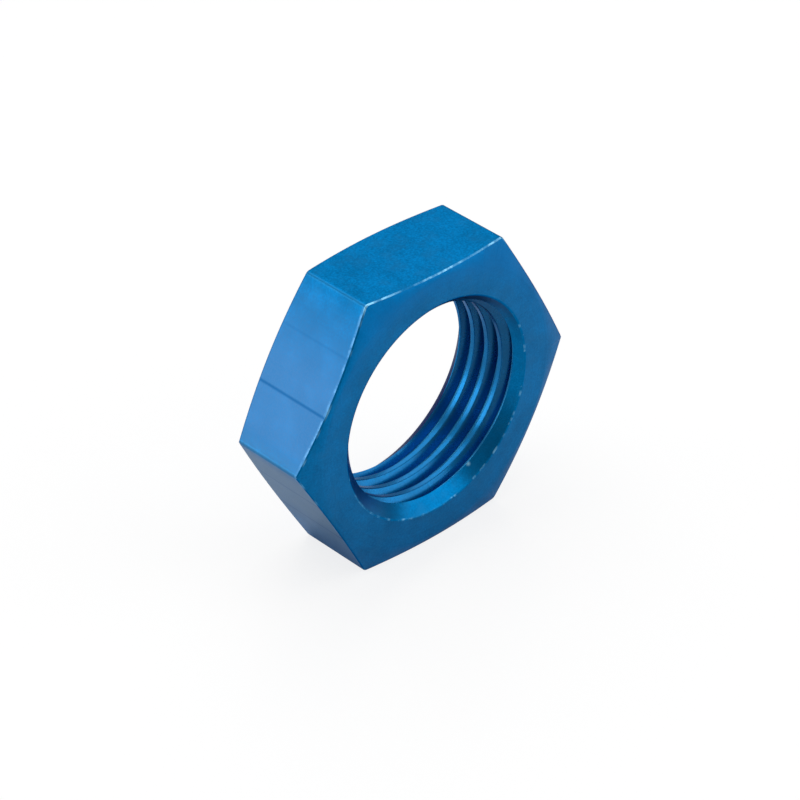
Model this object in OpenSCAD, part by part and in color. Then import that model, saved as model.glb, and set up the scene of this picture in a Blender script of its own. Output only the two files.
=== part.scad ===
// Bulkhead nut: a thin hexagon nut, turned from one piece of aluminium bar.
// It stands on one of its six flats, as such a nut is set down for a picture.
// The thread axis lies along Y and the front face is on the -Y side.
// All lengths are in millimetres and all angles in degrees.

/* [Hexagon] */
// Distance across the flats
across_flats = 25.4; // [24:0.1:36]
// Thickness along the thread axis
thickness = 7.9375; // [5:0.0625:12]
// How much the lathe takes off each of the six long corners
corner_trim = 0.06; // [0.02:0.02:0.5]

/* [Face chamfers] */
// How far inside the flats the flat ring of each face ends
ring_inset = 0.54; // [0.2:0.02:1]
// Slope of the chamfer, measured from the face
chamfer_angle = 14; // [5:1:30]

/* [Thread] */
// Major diameter of the thread
thread_d = 19.05; // [12:0.05:20]
// Number of threads in 25.4 mm
threads_per_inch = 16; // [12:1:24]
// Part of the full thread depth that the hole leaves, in percent
thread_percent = 75; // [60:1:85]

/* [Countersinks] */
// How far the front countersink opens past the thread, on the radius
front_clearance = 0.275; // [0.1:0.025:1]
// How far the back countersink opens past the thread, on the radius
back_clearance = 0.575; // [0.1:0.025:1]
// Angle between the opposite sides of each countersink
countersink_angle = 90; // [75:5:120]

/* [Hidden] */
$fn = 96;

// The hole's cutter reaches this far past both faces
cut_past = 1;

// The hexagon, before the lathe trims its corners
corners = 6;
flat_r = across_flats / 2;
sharp_corner_r = flat_r / cos(180 / corners);
corner_r = sharp_corner_r - corner_trim;

// Each chamfer drops from the edge of the ring to the trimmed corners
ring_r = flat_r - ring_inset;
chamfer_drop = (corner_r - ring_r) * tan(chamfer_angle);

// A 60 degree thread cut in full is 0.6495 of its pitch deep
full_depth_share = 0.6495;
pitch = 25.4 / threads_per_inch;
thread_r = thread_d / 2;
crest_r = thread_r - full_depth_share * pitch * thread_percent / 100;

// Each countersink runs from its mouth down to the crests of the thread
countersink_slope = 1 / tan(countersink_angle / 2);
front_mouth_r = thread_r + front_clearance;
back_mouth_r = thread_r + back_clearance;
front_depth = (front_mouth_r - crest_r) * countersink_slope;
back_depth = (back_mouth_r - crest_r) * countersink_slope;

// What the lathe leaves of the bar: a flat ring on each face with a shallow cone round it
module turned_blank() {
    rotate_extrude()
        polygon([
            [0, 0],
            [ring_r, 0],
            [corner_r, chamfer_drop],
            [corner_r, thickness - chamfer_drop],
            [ring_r, thickness],
            [0, thickness],
        ]);
}

// The six flats
module hexagon_bar() {
    cylinder(r = sharp_corner_r, h = thickness, $fn = corners);
}

// The hole at the crests of the thread, with a countersink at each end
module hole() {
    mouth_spread = cut_past / countersink_slope;
    rotate_extrude()
        polygon([
            [0, -cut_past],
            [back_mouth_r + mouth_spread, -cut_past],
            [crest_r, back_depth],
            [crest_r, thickness - front_depth],
            [front_mouth_r + mouth_spread, thickness + cut_past],
            [0, thickness + cut_past],
        ]);
}

// The nut along its own axis, with its back face at zero and its front face up
module turned_nut() {
    difference() {
        intersection() {
            hexagon_bar();
            turned_blank();
        }
        hole();
    }
}

// The nut stood on one flat, with the middle of its thickness over the origin
module nut() {
    color([0.05, 0.38, 0.66])
        translate([0, thickness / 2, flat_r])
            rotate([90, 0, 0])
                turned_nut();
}

nut();
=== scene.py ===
import math

import bpy
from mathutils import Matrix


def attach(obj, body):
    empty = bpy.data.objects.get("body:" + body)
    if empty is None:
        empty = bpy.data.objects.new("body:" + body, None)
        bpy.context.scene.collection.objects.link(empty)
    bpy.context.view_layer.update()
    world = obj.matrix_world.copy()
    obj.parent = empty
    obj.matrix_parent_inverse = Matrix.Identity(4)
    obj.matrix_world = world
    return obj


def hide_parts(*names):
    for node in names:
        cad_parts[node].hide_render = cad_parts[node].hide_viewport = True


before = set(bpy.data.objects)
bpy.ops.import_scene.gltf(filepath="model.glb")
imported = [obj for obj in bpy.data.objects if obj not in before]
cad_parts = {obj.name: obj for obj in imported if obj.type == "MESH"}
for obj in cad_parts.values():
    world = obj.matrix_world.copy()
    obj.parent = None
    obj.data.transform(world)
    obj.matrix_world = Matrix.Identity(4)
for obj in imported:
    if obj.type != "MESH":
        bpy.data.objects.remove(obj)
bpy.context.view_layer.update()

print("frame loaded:", sorted(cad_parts))


# small helpers

def hexToLinear(code):
    # a colour as a picker shows it, turned into the linear one that nodes want
    values = [int(code[i:i + 2], 16) / 255 for i in (1, 3, 5)]
    linear = [v / 12.92 if v <= 0.04045 else ((v + 0.055) / 1.055) ** 2.4 for v in values]
    return (*linear, 1.0)


def addNode(tree, kind, settings=None, values=None, links=None):
    node = tree.nodes.new(kind)
    for name, value in (settings or {}).items():
        setattr(node, name, value)
    for name, value in (values or {}).items():
        node.inputs[name].default_value = value
    for name, socket in (links or {}).items():
        tree.links.new(socket, node.inputs[name])
    return node


def pickOnly(piece):
    bpy.ops.object.select_all(action="DESELECT")
    piece.select_set(True)
    bpy.context.view_layer.objects.active = piece


def editFaces(piece, wanted):
    # goes into edit mode with only those faces selected
    pickOnly(piece)
    bpy.ops.object.mode_set(mode="EDIT")
    bpy.ops.mesh.select_mode(type="FACE")
    bpy.ops.mesh.select_all(action="DESELECT")
    bpy.ops.object.mode_set(mode="OBJECT")
    for face in piece.data.polygons:
        face.select = wanted(face)
    bpy.ops.object.mode_set(mode="EDIT")


def editEdges(piece, wanted):
    # the same for edges, where wanted is given the two ends
    pickOnly(piece)
    bpy.ops.object.mode_set(mode="EDIT")
    bpy.ops.mesh.select_mode(type="EDGE")
    bpy.ops.mesh.select_all(action="DESELECT")
    bpy.ops.object.mode_set(mode="OBJECT")
    points = piece.data.vertices
    for edge in piece.data.edges:
        edge.select = wanted(points[edge.vertices[0]].co, points[edge.vertices[1]].co)
    bpy.ops.object.mode_set(mode="EDIT")


def editAll(piece):
    # goes into edit mode with every point selected
    pickOnly(piece)
    bpy.ops.object.mode_set(mode="EDIT")
    bpy.ops.mesh.select_mode(type="VERT")
    bpy.ops.mesh.select_all(action="SELECT")


def giveFaces(piece, material, wanted):
    # those faces get the material, in a new slot
    piece.data.materials.append(material)
    editFaces(piece, wanted)
    piece.active_material_index = piece.data.materials.find(material.name)
    bpy.ops.object.material_slot_assign()
    bpy.ops.object.mode_set(mode="OBJECT")


def applyModifier(piece, kind, settings):
    pickOnly(piece)
    modifier = piece.modifiers.new(kind.title(), kind)
    for name, value in settings.items():
        setattr(modifier, name, value)
    bpy.ops.object.modifier_apply(modifier=modifier.name)


def combine(piece, tool, operation):
    # the tool is used up, and its material stays on the faces that it leaves behind
    applyModifier(piece, "BOOLEAN", {"operation": operation, "solver": "EXACT",
                                     "material_mode": "TRANSFER", "object": tool})
    pickOnly(tool)
    bpy.ops.object.delete()


# camera, where the photographer's was

camera = {
    "place": (-0.160116, -0.165125, 0.16958),
    "turn": (55.5056, -0.5858, -43.6454),   # degrees
    "lens": 156.73,                         # mm, on a 36 mm wide sensor
}
bpy.ops.object.select_all(action="DESELECT")
bpy.ops.object.camera_add(location=camera["place"], rotation=[math.radians(a) for a in camera["turn"]])
photoCamera = bpy.context.object
photoCamera.name = "photoCamera"
photoCamera.data.sensor_width = 36
photoCamera.data.lens = camera["lens"]
photoCamera.data.clip_start = 0.01
photoCamera.data.clip_end = 20
bpy.context.scene.camera = photoCamera
print("camera placed")


# sizes of the nut, in millimetres

nut = {
    "acrossFlats": 25.4,
    "thickness": 7.9375,
    "cornerRound": 0.4,     # radius along the six long corners
    "ringRadius": 12.16,    # flat ring of each face ends here
    "chamferAngle": 14,     # degrees from the face
    "frontMouth": 9.8,      # radius of the countersinks at the faces
    "backMouth": 10.1,
    "edgeBreak": 0.1,       # small bevel on the outer edges
    "mouthBreak": 0.1,      # and on the mouths of the hole
    "roundSides": 256,
}


# materials: blue anodised aluminium, which is metal under a thin clear oxide full of blue dye.
# The eye gets a metal that stays blue even in its highlights, with a soft satin sheen,
# a dye that took a little more here and less there, and bare bright metal on worn edges.

anodised = {
    "dyeThick": "#036298",      # where the oxide took more dye
    "dyeThin": "#0479BA",       # where it took less
    "dyeGrey": "#186CA1",       # faint greyish clouds in it
    "paintedCornerLight": "#3494CE",     # painted light along the long corners of the -X side flats
    "paintedTopLight": "#0078C2",       # painted light, lighter towards the top edges of the faces
    "paintedRootLight": "#2C90C8",       # painted light at the roots of the thread, lighter in the valleys
    "paintedShade": "#024670",      # painted shade, on the front flanks of the thread and near the front mouth
    "dieLine": "#0D568F",       # bottom of a line that the drawing die left
    "paintedSheenHigh": "#4077AC",      # painted sheen on the -X side, above the corner
    "paintedSheenLow": "#6285A4",       # and a greyer painted reflection below it
    "paintedEdgeHighlight": "#78B8EA",    # painted highlight along an edge
    "bareMetal": "#90D6FA",
    "cloudMm": 2.4,
    "greyCloudMm": 1.1,
    "patchMm": 0.7,             # patches of a rubbed edge
    "scuffMm": 0.8,             # and of a worn one
    "grainMm": 0.16,            # etched grain, really 0.02 mm, drawn this coarse so that it shows
    "grainDeepMm": 0.004,
    "markWeight": 0.3,          # how much tool marks change the dye, against the clouds
    "markAlong": 0.04,          # die lines change this much as fast along the bar as across it
    "dyeSpread": 0.33,          # a smaller one gives the two dyes more contrast
    "glossSpread": 0.02,        # how uneven the roughness is
    "wornHeights": (-9, 11),    # of the lowest and the highest edges, over the axis
    "longKnockMm": 1,           # knocks that reach further than this are patchy
}
drawnFlatLook = {
    "marks": "bar",             # lines that the die drew along the bar
    "grainWeight": 1.6,
    "markMm": 0.35,
    "markDeepMm": 0.002,
    "roughness": 0.4,
    "edgeTint": "#C0E6F4",
    # die lines along the bar: x and z from the axis and half width, all in mm, and how dark
    "dieLines": [(11.2, 5.99, 0.12, 0.5), (9.4, -9.11, 0.12, 0.4)],
}
paintedSheenFlatLook = {
    "marks": "bar",
    "markMm": 0.35,
    "markDeepMm": 0.002,
    "roughness": 0.4,
    "edgeTint": "#F2F4FA",
    "paintedSheen": (-7, -11, 0.9),             # x where it starts and is full, and its share there
    "paintedSheenFades": (13.9, 14.5, 0.55),    # the same by radius towards the corners, where the painted sheen fades
    # the same for how far the painted light on the corners reaches
    "paintedCornerLightReach": (14.5, 14.56, 0.28),
    # the front edge gets a painted highlight in patches: how wide in mm, and how pale
    "edgeHighlightBand": (0.34, 0.75),
    "dieLines": [(-12.01, 4.59, 0.21, 0.75), (-9.55, 8.85, 0.2, 0.2), (-10.1, -7.9, 0.14, 1),
                 (-12.55, -3.65, 0.16, 0.7)],
}
turnedFaceLook = {
    "marks": "lathe",           # rings that the lathe tool left
    "markMm": 0.22,
    "markDeepMm": 0.001,
    "roughness": 0.38,
    "edgeTint": "#F6F0F6",
    # painted light further out: which colour, the radii where it starts and is full, and its share
    "deep": ("paintedTopLight", 10.5, 12.5, 0.5),
    "deepAbove": (1, 11),       # and the heights over the axis where it starts and is full, so it is lighter towards the top
}
countersinkLook = {
    "marks": "lathe",
    "markMm": 0.18,
    "markDeepMm": 0.001,
    "roughness": 0.28,
    "edgeTint": "#E8DCE0",
    "deep": ("paintedShade", 9.1, 9.6, 0.65),       # painted shade, darker towards the mouth
    "deepAbove": (1.5, 5),                      # but only in its upper half
    "worn": (-0.5, -0.5),
    "knocks": [(4.36, -3.16, -7.87, 0.28, 0.9)],        # a burr where the thread starts
}
# the back one gets a dark tint, painted shade where it is seen at a glance
backCountersinkLook = dict(countersinkLook, edgeTint="#404C70")
cutThreadLook = {
    "marks": "lathe",
    "markMm": 0.12,
    "markDeepMm": 0.0008,
    "grainShare": 0.1,
    "roughness": 0.27,          # a tap leaves a brighter surface
    "edgeTint": "#C0C8D8",
    "clearCoat": 0.22,          # and the clear oxide over it shows as paler highlights
    # painted light, lighter towards the roots of the thread
    "deep": ("paintedRootLight", 8.8, 9.2, 0.85),
}
# painted shade on the flanks that look to the front, fading out towards the bottom of the hole
paintedShadeFlankLook = dict(cutThreadLook, deep=("paintedShade", 8.74, 8.8, 0.65), deepAbove=(-8.2, -3))
brokenEdgeLook = {
    "marks": "lathe",
    "markMm": 0.2,
    "markDeepMm": 0.0005,
    "roughness": 0.42,
    "edgeTint": "#385478",      # a dark tint, painted shade: a thin dark rim where it is seen at a glance
    "worn": (-0.3, -0.15),      # at the lowest and at the highest edge, where more is more worn
    # knocks: place from the middle of the nut and reach in mm, and how bare
    "knocks": [
        (-7.3, -3.5, 12.6, 1, 1), (-6, -3.6, 12.6, 3, 0.8), (0.9, -3.9, 12.7, 4.8, 1),
        (6.6, -3.6, 12.6, 3, 0.9), (-8, -3.7, 11.4, 0.5, 0.25), (-9.2, -3.75, 9.3, 0.4, 0.2),
        (-11.7, -3.85, 5, 0.9, 0.5), (-12.6, -3.8, 3.4, 0.6, 0.25), (-13.9, -3.6, 1.2, 0.5, 0.4),
        (-14.1, -3.6, -0.9, 0.7, 0.4), (-12.9, -3.75, -3, 0.5, 0.3), (-7.3, -3.3, -12.6, 0.6, 0.4),
    ],
}
mouthEdgeLook = {
    "marks": "lathe",
    "markMm": 0.2,
    "markDeepMm": 0.0005,
    "roughness": 0.33,
    "edgeTint": "#385888",
    "worn": (-0.02, -0.1),
    "knocks": [
        (9.0, -3.95, 3.83, 0.3, 0.3), (9.68, -3.95, 1.53, 0.35, 0.25), (9.37, -3.95, -2.87, 0.35, 0.35),
        (8.7, -3.95, -4.52, 0.3, 0.25), (6.62, -3.95, -7.22, 0.45, 0.5),
        (-1.7, -3.95, -9.65, 5.5, 0.06), (-8.2, -3.95, -5.4, 3.8, 0.3),
    ],
}


def fadeAround(tree, vector, point, reach, most):
    # a soft spot round a point, or a soft line where the vector has lost one direction
    gap = addNode(tree, "ShaderNodeVectorMath", settings={"operation": "DISTANCE"},
                  values={1: point}, links={0: vector}).outputs["Value"]
    return addNode(tree, "ShaderNodeMapRange", settings={"interpolation_type": "SMOOTHSTEP"},
                   values={"From Min": 0, "From Max": reach, "To Min": most, "To Max": 0},
                   links={"Value": gap}).outputs["Result"]


def makeAnodised(name, look):
    material = bpy.data.materials.new(name)
    material.use_nodes = True
    tree = material.node_tree
    tree.nodes.clear()

    # millimetres from the middle of the nut, so that every scale is one over a real size
    place = addNode(tree, "ShaderNodeTexCoord")
    spot = addNode(tree, "ShaderNodeMapping",
                   values={"Scale": (1000, 1000, 1000), "Location": (0, 0, -nut["acrossFlats"] / 2)},
                   links={"Vector": place.outputs["Object"]}).outputs["Vector"]
    split = addNode(tree, "ShaderNodeSeparateXYZ", links={"Vector": spot})
    across = addNode(tree, "ShaderNodeCombineXYZ",
                     links={"X": split.outputs["X"], "Z": split.outputs["Z"]}).outputs["Vector"]
    radius = addNode(tree, "ShaderNodeVectorMath", settings={"operation": "LENGTH"},
                     links={"Vector": across}).outputs["Value"]

    # tool marks change fast across them and slowly along them
    if look["marks"] == "bar":
        markSpot = addNode(tree, "ShaderNodeMapping",
                           values={"Scale": (1, anodised["markAlong"], 1)},
                           links={"Vector": spot}).outputs["Vector"]
    else:
        markSpot = addNode(tree, "ShaderNodeCombineXYZ",
                           links={"X": radius, "Y": split.outputs["Y"]}).outputs["Vector"]
    marks = addNode(tree, "ShaderNodeTexNoise",
                    values={"Scale": 1 / look["markMm"], "Detail": 3, "Roughness": 0.55},
                    links={"Vector": markSpot}).outputs["Fac"]
    grain = addNode(tree, "ShaderNodeTexNoise",
                    values={"Scale": 1 / anodised["grainMm"], "Detail": 2, "Roughness": 0.5},
                    links={"Vector": spot}).outputs["Fac"]
    clouds = addNode(tree, "ShaderNodeTexNoise",
                     values={"Scale": 1 / anodised["cloudMm"], "Detail": 5, "Roughness": 0.62},
                     links={"Vector": spot}).outputs["Fac"]

    # colour: cloudy dye, a little lighter on the crowns of the marks and of the grain
    grainWeight = look.get("grainWeight", 0.8)
    marked = addNode(tree, "ShaderNodeMath", settings={"operation": "MULTIPLY_ADD"},
                     values={1: anodised["markWeight"]},
                     links={0: marks, 2: clouds}).outputs["Value"]
    grainy = addNode(tree, "ShaderNodeMath", settings={"operation": "MULTIPLY_ADD"},
                     values={1: grainWeight},
                     links={0: grain, 2: marked}).outputs["Value"]
    # each noise is about a half on average, so this is the middle of their sum
    middle = 0.5 + anodised["markWeight"] / 2 + grainWeight / 2
    dyeShare = addNode(tree, "ShaderNodeMapRange",
                       values={"From Min": middle - anodised["dyeSpread"],
                               "From Max": middle + anodised["dyeSpread"]},
                       links={"Value": grainy}).outputs["Result"]
    colour = addNode(tree, "ShaderNodeMix", settings={"data_type": "RGBA"},
                     values={6: hexToLinear(anodised["dyeThick"]), 7: hexToLinear(anodised["dyeThin"])},
                     links={0: dyeShare}).outputs[2]
    greyClouds = addNode(tree, "ShaderNodeTexNoise",
                         values={"Scale": 1 / anodised["greyCloudMm"], "Detail": 3},
                         links={"Vector": spot}).outputs["Fac"]
    greyShare = addNode(tree, "ShaderNodeMapRange",
                        values={"From Min": 0.48, "From Max": 0.75, "To Max": 0.5},
                        links={"Value": greyClouds}).outputs["Result"]
    colour = addNode(tree, "ShaderNodeMix", settings={"data_type": "RGBA"},
                     values={7: hexToLinear(anodised["dyeGrey"])},
                     links={0: greyShare, 6: colour}).outputs[2]

    if "paintedSheen" in look:
        # painted sheen: it grows from the top corner of the -X side and is strongest on its two flats,
        # and its two colours meet within a millimetre of the corner between them
        paintedSheen = addNode(tree, "ShaderNodeMapRange", values={"From Min": 1, "From Max": -1},
                       links={"Value": split.outputs["Z"]}).outputs["Result"]
        paintedSheen = addNode(tree, "ShaderNodeMix", settings={"data_type": "RGBA"},
                       values={6: hexToLinear(anodised["paintedSheenHigh"]), 7: hexToLinear(anodised["paintedSheenLow"])},
                       links={0: paintedSheen}).outputs[2]
        starts, full, most = look["paintedSheen"]
        paintedSheenShare = addNode(tree, "ShaderNodeMapRange",
                            values={"From Min": starts, "From Max": full, "To Min": 0, "To Max": most},
                            links={"Value": split.outputs["X"]}).outputs["Result"]
        starts, full, left = look["paintedSheenFades"]
        sheenFading = addNode(tree, "ShaderNodeMapRange",
                         values={"From Min": starts, "From Max": full, "To Min": 1, "To Max": left},
                         links={"Value": radius}).outputs["Result"]
        # weaker on the crowns of the grain
        grained = addNode(tree, "ShaderNodeMapRange",
                          values={"From Min": 0.3, "From Max": 0.7, "To Min": 1.1, "To Max": 0.8},
                          links={"Value": grain}).outputs["Result"]
        for share in (sheenFading, grained):
            paintedSheenShare = addNode(tree, "ShaderNodeMath",
                                settings={"operation": "MULTIPLY", "use_clamp": True},
                                links={0: paintedSheenShare, 1: share}).outputs["Value"]
        colour = addNode(tree, "ShaderNodeMix", settings={"data_type": "RGBA"},
                         links={0: paintedSheenShare, 6: colour, 7: paintedSheen}).outputs[2]
        # painted light on the long corners, by radius
        starts, full, most = look["paintedCornerLightReach"]
        corner = addNode(tree, "ShaderNodeMapRange",
                         values={"From Min": starts, "From Max": full, "To Max": most},
                         links={"Value": radius}).outputs["Result"]
        colour = addNode(tree, "ShaderNodeMix", settings={"data_type": "RGBA"},
                         values={7: hexToLinear(anodised["paintedCornerLight"])},
                         links={0: corner, 6: colour}).outputs[2]

    # painted light and shade, by radius and by height
    if "deep" in look:
        dye, starts, full, most = look["deep"]
        deepShare = addNode(tree, "ShaderNodeMapRange",
                            values={"From Min": starts, "From Max": full, "To Max": most},
                            links={"Value": radius}).outputs["Result"]
        if "deepAbove" in look:
            low, high = look["deepAbove"]
            above = addNode(tree, "ShaderNodeMapRange", values={"From Min": low, "From Max": high},
                            links={"Value": split.outputs["Z"]}).outputs["Result"]
            deepShare = addNode(tree, "ShaderNodeMath", settings={"operation": "MULTIPLY"},
                                links={0: deepShare, 1: above}).outputs["Value"]
        colour = addNode(tree, "ShaderNodeMix", settings={"data_type": "RGBA"},
                         values={7: hexToLinear(anodised[dye])},
                         links={0: deepShare, 6: colour}).outputs[2]

    # painted highlight along the front edge, in patches
    if "edgeHighlightBand" in look:
        # how far behind the chamfer's cone, which crosses the flat in a curve
        wide, most = look["edgeHighlightBand"]
        slope = math.tan(math.radians(nut["chamferAngle"]))
        cone = addNode(tree, "ShaderNodeMath", settings={"operation": "MULTIPLY_ADD"},
                       values={1: slope, 2: -nut["thickness"] / 2 - nut["ringRadius"] * slope},
                       links={0: radius}).outputs["Value"]
        behind = addNode(tree, "ShaderNodeMath", settings={"operation": "SUBTRACT"},
                         links={0: split.outputs["Y"], 1: cone}).outputs["Value"]
        rim = addNode(tree, "ShaderNodeMapRange",
                      values={"From Min": nut["edgeBreak"], "From Max": wide, "To Min": most, "To Max": 0},
                      links={"Value": behind}).outputs["Result"]
        patchNoise = addNode(tree, "ShaderNodeTexNoise",
                             values={"Scale": 1 / anodised["patchMm"], "Detail": 4, "Roughness": 0.65},
                             links={"Vector": spot}).outputs["Fac"]
        rimPatches = addNode(tree, "ShaderNodeMapRange",
                             values={"From Min": 0.44, "From Max": 0.6, "To Min": 0.15},
                             links={"Value": patchNoise}).outputs["Result"]
        rim = addNode(tree, "ShaderNodeMath", settings={"operation": "MULTIPLY"},
                      links={0: rim, 1: rimPatches}).outputs["Value"]
        colour = addNode(tree, "ShaderNodeMix", settings={"data_type": "RGBA"},
                         values={7: hexToLinear(anodised["paintedEdgeHighlight"])},
                         links={0: rim, 6: colour}).outputs[2]

    height = marks
    for x, z, halfWidth, dark in look.get("dieLines", []):
        line = fadeAround(tree, across, (x, 0, z), halfWidth, dark)
        colour = addNode(tree, "ShaderNodeMix", settings={"data_type": "RGBA"},
                         values={7: hexToLinear(anodised["dieLine"])},
                         links={0: line, 6: colour}).outputs[2]
        height = addNode(tree, "ShaderNodeMath", settings={"operation": "SUBTRACT"},
                         links={0: height, 1: line}).outputs["Value"]

    if "worn" in look:
        # some edges get knocked more than others, and rubbing leaves them patchy
        scuffs = addNode(tree, "ShaderNodeTexNoise",
                         values={"Scale": 1 / anodised["scuffMm"], "Detail": 4, "Roughness": 0.65},
                         links={"Vector": spot}).outputs["Fac"]
        lowest, highest = anodised["wornHeights"]
        atLowest, atHighest = look["worn"]
        knocked = addNode(tree, "ShaderNodeMapRange",
                          values={"From Min": lowest, "From Max": highest,
                                  "To Min": atLowest, "To Max": atHighest},
                          links={"Value": split.outputs["Z"]}).outputs["Result"]
        scuffed = addNode(tree, "ShaderNodeMath", settings={"operation": "ADD"},
                          links={0: scuffs, 1: knocked}).outputs["Value"]
        wornShare = addNode(tree, "ShaderNodeMapRange",
                            values={"From Min": 0.5, "From Max": 0.78, "To Max": 0.9},
                            links={"Value": scuffed}).outputs["Result"]
        for x, y, z, reach, bare in look["knocks"]:
            knock = fadeAround(tree, spot, (x, y, z), reach, bare)
            if reach > anodised["longKnockMm"]:
                patches = addNode(tree, "ShaderNodeMapRange",
                                  values={"From Min": 0.42, "From Max": 0.56, "To Min": 0.25},
                                  links={"Value": scuffs}).outputs["Result"]
                knock = addNode(tree, "ShaderNodeMath", settings={"operation": "MULTIPLY"},
                                links={0: knock, 1: patches}).outputs["Value"]
            wornShare = addNode(tree, "ShaderNodeMath",
                                settings={"operation": "ADD", "use_clamp": True},
                                links={0: wornShare, 1: knock}).outputs["Value"]
        colour = addNode(tree, "ShaderNodeMix", settings={"data_type": "RGBA"},
                         values={7: hexToLinear(anodised["bareMetal"])},
                         links={0: wornShare, 6: colour}).outputs[2]

    # gloss: the clouds and the etched grain make it a little uneven
    rough = addNode(tree, "ShaderNodeMapRange",
                    values={"From Min": middle - 0.05, "From Max": middle + 0.3,
                            "To Min": look["roughness"] + anodised["glossSpread"],
                            "To Max": look["roughness"] - anodised["glossSpread"]},
                    links={"Value": grainy}).outputs["Result"]

    # relief, in metres: tool marks a micron or two deep with the grain on top
    markBump = addNode(tree, "ShaderNodeBump",
                       values={"Strength": 1, "Distance": look["markDeepMm"] / 1000},
                       links={"Height": height})
    grainDeepMm = anodised["grainDeepMm"] * look.get("grainShare", 1)
    grainBump = addNode(tree, "ShaderNodeBump",
                        values={"Strength": 1, "Distance": grainDeepMm / 1000},
                        links={"Height": grain, "Normal": markBump.outputs["Normal"]})

    shader = addNode(tree, "ShaderNodeBsdfPrincipled",
                     values={"Metallic": 1, "Specular Tint": hexToLinear(look["edgeTint"]),
                             "Coat Weight": look.get("clearCoat", 0), "Coat Roughness": 0.15},
                     links={"Base Color": colour, "Roughness": rough,
                            "Normal": grainBump.outputs["Normal"]})
    addNode(tree, "ShaderNodeOutputMaterial", links={"Surface": shader.outputs["BSDF"]})
    return material


drawnFlat = makeAnodised("anodisedDrawnFlat", drawnFlatLook)
paintedSheenFlat = makeAnodised("anodisedPaintedSheenFlat", paintedSheenFlatLook)
turnedFace = makeAnodised("anodisedTurnedFace", turnedFaceLook)
countersink = makeAnodised("anodisedCountersink", countersinkLook)
backCountersink = makeAnodised("anodisedBackCountersink", backCountersinkLook)
cutThread = makeAnodised("anodisedCutThread", cutThreadLook)
paintedShadeFlank = makeAnodised("anodisedPaintedShadeFlank", paintedShadeFlankLook)
brokenEdge = makeAnodised("anodisedBrokenEdge", brokenEdgeLook)
mouthEdge = makeAnodised("anodisedMouthEdge", mouthEdgeLook)
print("materials made")


# the nut is made in millimetres along Z with its back face at zero, and stood on a flat at the end

thread = {
    "major": 9.525,         # radius at the roots
    "crest": 8.75169,       # radius at the crests
    "pitch": 1.5875,
    "rootFlat": 0.1984,
    "start": 1.3225,        # height of a crest over the back face on the +X side
    "turns": 8,             # of the tap, which is longer than the nut
    "turnsBelow": 3,        # how many of them are under that crest
    "crestRound": 0.09,     # how far from a crest's corner its rounding starts
    "rootRound": 0.09,
    "steps": 144,           # per turn
}


looksAlong = 0.9        # a face looks along Z if its normal has more of Z than this
closeEnough = 0.01      # mm, places closer than this are the same


def turnedDrum(name, radius, height, coneAngle, endRadius, material):
    # a cylinder whose ends taper in to endRadius
    drop = (radius - endRadius) * math.tan(math.radians(coneAngle))
    middle = nut["thickness"] / 2
    bpy.ops.object.select_all(action="DESELECT")
    bpy.ops.mesh.primitive_cylinder_add(vertices=nut["roundSides"], radius=radius, depth=height - 2 * drop,
                                        location=(0, 0, middle))
    drum = bpy.context.object
    drum.name = name
    bpy.ops.object.transform_apply(location=True, rotation=True, scale=True)
    drum.data.materials.append(material)
    for side in (1, -1):
        editFaces(drum, lambda face: face.normal.z * side > looksAlong)
        bpy.ops.mesh.extrude_region_move(TRANSFORM_OT_translate={"value": (0, 0, side * drop)})
        shrink = endRadius / radius
        bpy.ops.transform.resize(value=(shrink, shrink, 1), center_override=(0, 0, middle))
        bpy.ops.object.mode_set(mode="OBJECT")
    return drum


# hexagon bar with its long corners rounded, sawn off a little too long
spare = 1
flatRadius = nut["acrossFlats"] / 2
sharpCorner = flatRadius / math.cos(math.radians(30))
bpy.ops.object.select_all(action="DESELECT")
bpy.ops.mesh.primitive_cylinder_add(vertices=6, radius=sharpCorner,
                                    depth=nut["thickness"] + 2 * spare,
                                    location=(0, 0, nut["thickness"] / 2),
                                    rotation=(0, 0, math.radians(30)))
body = bpy.context.object
body.name = "bulkheadNut"
bpy.ops.object.transform_apply(location=True, rotation=True, scale=True)
body.data.materials.append(drawnFlat)
editEdges(body, lambda a, b: abs(a.z - b.z) > nut["thickness"])
bpy.ops.mesh.bevel(offset=nut["cornerRound"] * math.tan(math.radians(30)), segments=5, profile=0.5)
bpy.ops.object.mode_set(mode="OBJECT")

# the lathe faces and chamfers it, and drills and countersinks the hole
latheRadius = 16        # clear of the bar's corners
lathe = turnedDrum("lathe", latheRadius, nut["thickness"], nut["chamferAngle"], nut["ringRadius"],
                   turnedFace)
combine(body, lathe, "INTERSECT")

drillRadius = 8.4       # less than the crests', so that the tap cuts those
drillLength = 4
drillPast = 0.5
for side, mouth, finish in ((1, nut["frontMouth"], countersink),
                            (-1, nut["backMouth"], backCountersink)):
    # each half of the drill opens at 45 degrees to its mouth, and on past the face
    face = nut["thickness"] if side > 0 else 0
    bpy.ops.object.select_all(action="DESELECT")
    middle = face - side * (mouth - drillRadius + drillLength / 2)
    bpy.ops.mesh.primitive_cylinder_add(vertices=nut["roundSides"], radius=drillRadius,
                                        depth=drillLength, location=(0, 0, middle))
    drill = bpy.context.object
    bpy.ops.object.transform_apply(location=True, rotation=True, scale=True)
    drill.data.materials.append(finish)
    editFaces(drill, lambda f: f.normal.z * side > looksAlong)
    reach = mouth - drillRadius + drillPast
    bpy.ops.mesh.extrude_region_move(TRANSFORM_OT_translate={"value": (0, 0, side * reach)})
    grow = (mouth + drillPast) / drillRadius
    bpy.ops.transform.resize(value=(grow, grow, 1), center_override=(0, 0, 0))
    bpy.ops.object.mode_set(mode="OBJECT")
    combine(body, drill, "DIFFERENCE")
print("bar turned and drilled:", len(body.data.polygons), "faces")

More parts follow.
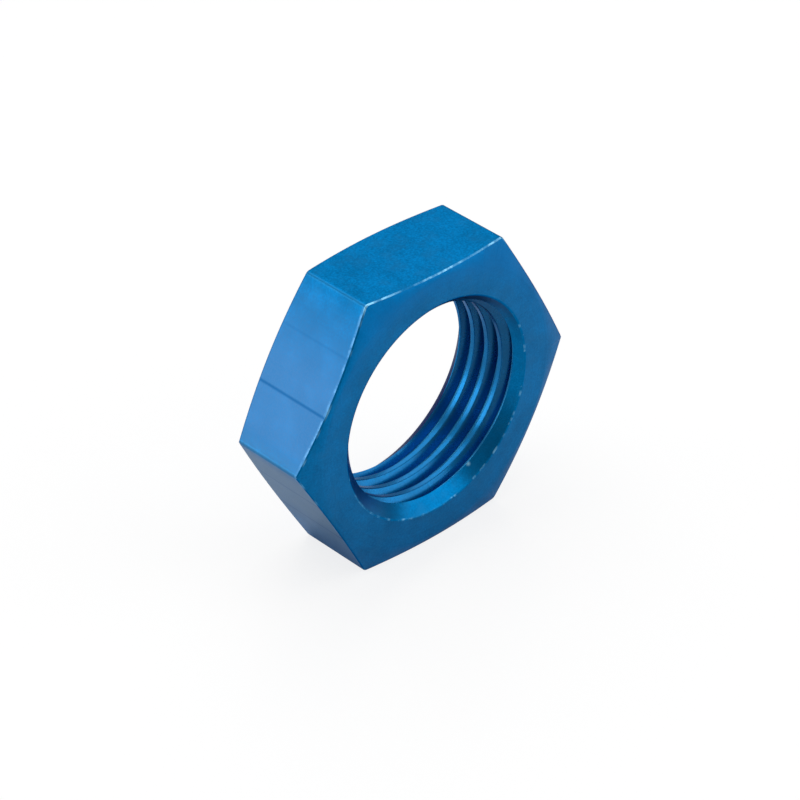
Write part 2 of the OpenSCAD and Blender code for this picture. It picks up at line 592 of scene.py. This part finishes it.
# the outer edges and the mouths of the hole are broken, and that is where the anodising wears
body.data.materials.append(brokenEdge)
body.data.materials.append(mouthEdge)
flatTurns = (math.pi / 6, math.pi / 2, math.pi * 5 / 6)
inCorner = 0.06         # mm, how far the rounded corners pull an edge in from a flat
longEdge = 3            # mm along the axis, which only the long corners have
mouthSlack = 0.1        # mm


def onOuterEdge(a, b):
    reach = [max(abs(p.x * math.cos(t) + p.y * math.sin(t)) for t in flatTurns) for p in (a, b)]
    onRim = all(math.hypot(p.x, p.y) > flatRadius - closeEnough for p in (a, b))
    return onRim and min(reach) > flatRadius - inCorner and abs(a.z - b.z) < longEdge


def onMouth(a, b):
    onFace = all(abs(p.z) < closeEnough or abs(p.z - nut["thickness"]) < closeEnough
                 for p in (a, b))
    smallest = nut["frontMouth"] - mouthSlack
    largest = nut["backMouth"] + mouthSlack
    return onFace and all(smallest < math.hypot(p.x, p.y) < largest for p in (a, b))


for wanted, width, finish in ((onOuterEdge, nut["edgeBreak"], brokenEdge),
                              (onMouth, nut["mouthBreak"], mouthEdge)):
    # unclamped, because the short edges round the corners would hold the bevel down to nothing
    editEdges(body, wanted)
    bpy.ops.mesh.bevel(offset=width, segments=3, profile=0.5, clamp_overlap=False,
                       material=body.data.materials.find(finish.name))
    bpy.ops.object.mode_set(mode="OBJECT")

# the two flats of the -X side carry the painted sheen, with most of the roundings beside them
leansLeft = -0.45
giveFaces(body, paintedSheenFlat, lambda face: face.material_index == 0 and face.normal.x < leansLeft)
print("edges broken:", len(body.data.polygons), "faces")

# the tap: one pitch of the thread drawn point by point, then screwed up along the axis
depth = thread["major"] - thread["crest"]
flank = depth * math.tan(math.radians(30))
crestHalf = (thread["pitch"] - thread["rootFlat"] - 2 * flank) / 2
corners = [(thread["crest"], crestHalf), (thread["major"], crestHalf + flank),
           (thread["major"], crestHalf + flank + thread["rootFlat"]),
           (thread["crest"], thread["pitch"] - crestHalf)]
ends = [(thread["crest"], 0)] + corners + [(thread["crest"], thread["pitch"])]
mostOfSide = 0.96       # a rounding takes no more than this of a side
profile = [ends[0]]
for before, here, after in zip(ends, ends[1:], ends[2:]):
    # each corner is rounded by seven points
    near = []
    for other in (before, after):
        away = math.dist(here, other)
        rounding = thread["crestRound" if here[0] == thread["crest"] else "rootRound"]
        share = min(rounding, away * mostOfSide) / away
        near.append([h + (o - h) * share for h, o in zip(here, other)])
    for step in (0, 0.17, 0.33, 0.5, 0.67, 0.83, 1):
        profile.append(tuple((1 - step) ** 2 * n + 2 * step * (1 - step) * h + step ** 2 * f
                             for n, h, f in zip(near[0], here, near[1])))
profile.append(ends[-1])

base = thread["start"] - thread["turnsBelow"] * thread["pitch"]
bpy.ops.object.select_all(action="DESELECT")
bpy.ops.mesh.primitive_plane_add(size=1, location=(profile[0][0], 0, base))
tap = bpy.context.object
tap.name = "tap"
bpy.ops.object.transform_apply(location=True, rotation=True, scale=True)
editAll(tap)
bpy.ops.mesh.merge(type="CENTER")
for before, here in zip(profile, profile[1:]):
    step = (here[0] - before[0], 0, here[1] - before[1])
    bpy.ops.mesh.extrude_region_move(TRANSFORM_OT_translate={"value": step})
bpy.ops.object.mode_set(mode="OBJECT")
tap.data.materials.append(cutThread)
applyModifier(tap, "SCREW", {"axis": "Z", "angle": 2 * math.pi, "screw_offset": thread["pitch"],
                             "iterations": thread["turns"],
                             "steps": thread["steps"], "render_steps": thread["steps"]})

# its turns are joined, its open ends closed, and the many-sided faces there cut into triangles
betweenTurns = 0.0005   # mm
manySides = 20
editAll(tap)
bpy.ops.mesh.remove_doubles(threshold=betweenTurns)
bpy.ops.mesh.fill_holes(sides=0)
bpy.ops.object.mode_set(mode="OBJECT")
editFaces(tap, lambda face: len(face.vertices) > manySides)
bpy.ops.mesh.poke()
bpy.ops.mesh.select_all(action="SELECT")
bpy.ops.mesh.normals_make_consistent(inside=False)
bpy.ops.object.mode_set(mode="OBJECT")
print("tap:", len(tap.data.vertices), "points")
combine(body, tap, "DIFFERENCE")

# the cut leaves a few points almost on top of each other
almostTouching = 0.0001     # mm
editAll(body)
bpy.ops.mesh.remove_doubles(threshold=almostTouching)
bpy.ops.mesh.dissolve_degenerate(threshold=almostTouching)
bpy.ops.object.mode_set(mode="OBJECT")

# the flanks that look to the front get painted shade, in a finish of their own
looksFront = 0.6
cutSlot = body.data.materials.find(cutThread.name)
giveFaces(body, paintedShadeFlank,
          lambda face: face.material_index == cutSlot and face.normal.z > looksFront)
print("thread cut:", len(body.data.polygons), "faces")

# the nut is stood on one flat, in metres
body.rotation_euler = (math.pi / 2, 0, 0)
body.location = (0, nut["thickness"] / 2000, flatRadius / 1000)
body.scale = (0.001, 0.001, 0.001)
pickOnly(body)
bpy.ops.object.transform_apply(location=True, rotation=True, scale=True)

# shading: crisp where the tool changed direction, smooth along every turned surface
bpy.ops.object.shade_smooth_by_angle(angle=math.radians(30))
applyModifier(body, "WEIGHTED_NORMAL", {"keep_sharp": True, "weight": 60})

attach(body, "root")
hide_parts("nut")
print("nut finished:", len(body.data.vertices), "points")


# floor: plain and pale. Part of it is as white as the background of the photograph,
# and the rest is lit, so that it keeps the shadow of the nut

floorLook = {
    "colour": "#DCDCDC",
    "roughness": 0.35,          # satin, so that it shines at a glance
    "whiteToCamera": 0.8,       # share that is plain white
    "whiteInGloss": 0.12,       # the same, as the metal reflects it
}
bpy.ops.object.select_all(action="DESELECT")
bpy.ops.mesh.primitive_plane_add(size=4, location=(0, 0, 0))
floor = bpy.context.object
floor.name = "floor"
paper = bpy.data.materials.new("paleFloor")
paper.use_nodes = True
tree = paper.node_tree
tree.nodes.clear()
path = addNode(tree, "ShaderNodeLightPath")
glossShare = addNode(tree, "ShaderNodeMath", settings={"operation": "MULTIPLY"},
                     values={1: floorLook["whiteInGloss"]}, links={0: path.outputs["Is Glossy Ray"]})
share = addNode(tree, "ShaderNodeMath", settings={"operation": "MULTIPLY_ADD"},
                values={1: floorLook["whiteToCamera"]},
                links={0: path.outputs["Is Camera Ray"], 2: glossShare.outputs["Value"]})
pale = addNode(tree, "ShaderNodeMix", settings={"data_type": "RGBA"},
               values={6: hexToLinear(floorLook["colour"]), 7: (1, 1, 1, 1)},
               links={0: path.outputs["Is Camera Ray"]})
lit = addNode(tree, "ShaderNodeBsdfPrincipled", values={"Roughness": floorLook["roughness"]},
              links={"Base Color": pale.outputs[2]})
white = addNode(tree, "ShaderNodeEmission", values={"Strength": 1})
both = addNode(tree, "ShaderNodeMixShader",
               links={0: share.outputs["Value"], 1: lit.outputs["BSDF"], 2: white.outputs["Emission"]})
addNode(tree, "ShaderNodeOutputMaterial", links={"Surface": both.outputs["Shader"]})
floor.data.materials.append(paper)

# soft studio light: a pale room that is lighter at the back, and three large lamps

room = {
    "lightFrom": (-0.35, 0.8, 0.5),
    "brightest": 0.83,
    "darkest": 0.21,
}
world = bpy.data.worlds.new("paleRoom")
bpy.context.scene.world = world
world.use_nodes = True
tree = world.node_tree
tree.nodes.clear()
around = addNode(tree, "ShaderNodeTexCoord")
side = addNode(tree, "ShaderNodeVectorMath", settings={"operation": "DOT_PRODUCT"},
               values={1: room["lightFrom"]}, links={0: around.outputs["Generated"]})
strength = addNode(tree, "ShaderNodeMapRange",
                   values={"From Min": -1, "From Max": 1,
                           "To Min": room["darkest"], "To Max": room["brightest"]},
                   links={"Value": side.outputs["Value"]})
glow = addNode(tree, "ShaderNodeBackground", links={"Strength": strength.outputs["Result"]})
addNode(tree, "ShaderNodeOutputWorld", links={"Surface": glow.outputs["Background"]})

lamps = {
    "leftLamp": {"from": (-0.78, 0.59, 0.25), "wide": 0.24, "high": 0.24, "away": 0.45, "glow": 1.68},
    "topLamp": {"from": (0.2, 0.3, 0.93), "wide": 0.8, "high": 0.8, "away": 0.5, "glow": 0.92},
    "frontLamp": {"from": (0.6, -0.72, 0.46), "wide": 0.47, "high": 0.48, "away": 0.5, "glow": 1.27},
}
for name, lamp in lamps.items():
    length = math.hypot(*lamp["from"])
    place = [c / length * lamp["away"] for c in lamp["from"]]
    # round the middle of the nut, and turned to face it
    place[2] += flatRadius / 1000
    tilt = math.acos(lamp["from"][2] / length)
    heading = math.atan2(lamp["from"][0], -lamp["from"][1])
    bpy.ops.object.select_all(action="DESELECT")
    bpy.ops.object.light_add(type="AREA", location=place, rotation=(tilt, 0, heading))
    light = bpy.context.object
    light.name = name
    light.data.shape = "RECTANGLE"
    light.data.size = lamp["wide"]
    light.data.size_y = lamp["high"]
    light.data.energy = lamp["glow"] * math.pi * lamp["wide"] * lamp["high"]
print("floor and lights placed")

bpy.context.scene.view_settings.view_transform = "Standard"
